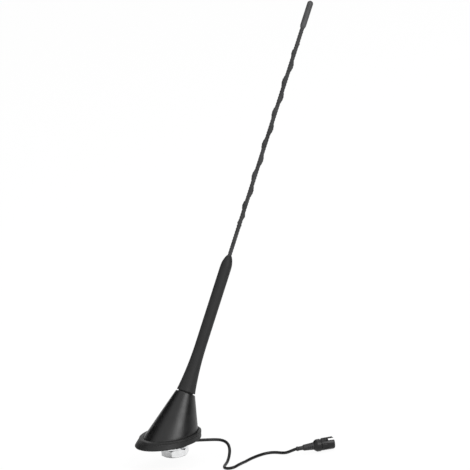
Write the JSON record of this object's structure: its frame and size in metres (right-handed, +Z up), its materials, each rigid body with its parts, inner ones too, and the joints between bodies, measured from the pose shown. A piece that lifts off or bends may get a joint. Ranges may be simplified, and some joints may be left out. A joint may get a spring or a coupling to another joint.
{
  "type": "car mast aerial",
  "caption": "Raked screw-in whip aerial for a car roof: wound mast with wind spiral, oval sealed base, hollow roof stud, toothed washer, nut and short coax lead.",
  "frame": {"origin": "Where the axis of the hollow roof stud meets the plane of the roof, which is the underside of the gasket.", "axes": "+Z is up out of the roof, along the stud. +X is the way the mast leans, towards the rear of the car. +Y completes a right-handed frame."},
  "size_m": [0.2649, 0.1335, 0.4158],
  "materials": {
    "black_plastic": "fine satin grain",
    "black_rubber": "matte",
    "whip_skin": "shrunk sheath with the winding showing through",
    "plug_plastic": "satin",
    "cable_jacket": "smooth satin",
    "plated_steel": "bright zinc plate",
    "cast_metal": "die-cast",
    "brass": "turned",
    "glass_fibre": "pultruded rod",
    "insulator": "moulded",
    "board": "solder mask"
  },
  "bodies": {
    "root": {"base_cover": "black_plastic", "cover_screws": "plated_steel", "base_casting": "cast_metal", "gasket": "black_rubber", "socket_bush": "brass", "socket_insulator": "insulator", "contact_strip": "brass", "circuit_board": "board", "screening_can": "plated_steel", "board_screws": "plated_steel", "inner_lead": "cable_jacket", "strain_relief": "black_rubber", "coax_lead": "cable_jacket", "crimp_collar": "black_rubber", "bend_boot": "black_rubber", "plug_shell": "plug_plastic", "plug_insulator": "insulator", "screen_contact": "plated_steel", "centre_contact": "brass"},
    "seal": {"seal_ring": "black_rubber"},
    "mast": {"tip_cap": "black_plastic", "whip_rod": "glass_fibre", "whip_sheath": "whip_skin", "wind_spiral": "whip_skin", "mast_sleeve": "black_rubber", "mast_ferrule": "brass", "mast_stud": "plated_steel"},
    "washer": {"toothed_washer": "plated_steel"},
    "nut": {"hex_nut": "plated_steel"}
  },
  "joints": [
    {"name": "mast_rise", "type": "slide", "parent": "root", "child": "seal", "axis": [0.5, 0, 0.866], "range_m": [0, 0.008]},
    {"name": "mast_unscrew", "type": "hinge", "parent": "seal", "child": "mast", "pos_m": [0.02095, 0, 0.04408], "axis": [0.5, 0, 0.866], "range_deg": [0, 3600]},
    {"name": "washer_lower", "type": "slide", "parent": "root", "child": "washer", "axis": [0, 0, -1], "range_m": [0, 0.0075]},
    {"name": "nut_unscrew", "type": "hinge", "parent": "washer", "child": "nut", "pos_m": [0, 0, -0.0115], "axis": [0, 0, -1], "range_deg": [0, 1800]}
  ],
  "couplings": [
    {"joint": "mast_unscrew", "follows": "mast_rise", "rad_per_m": 7854},
    {"joint": "washer_lower", "follows": "nut_unscrew", "m_per_rad": 0.00023873}
  ]
}
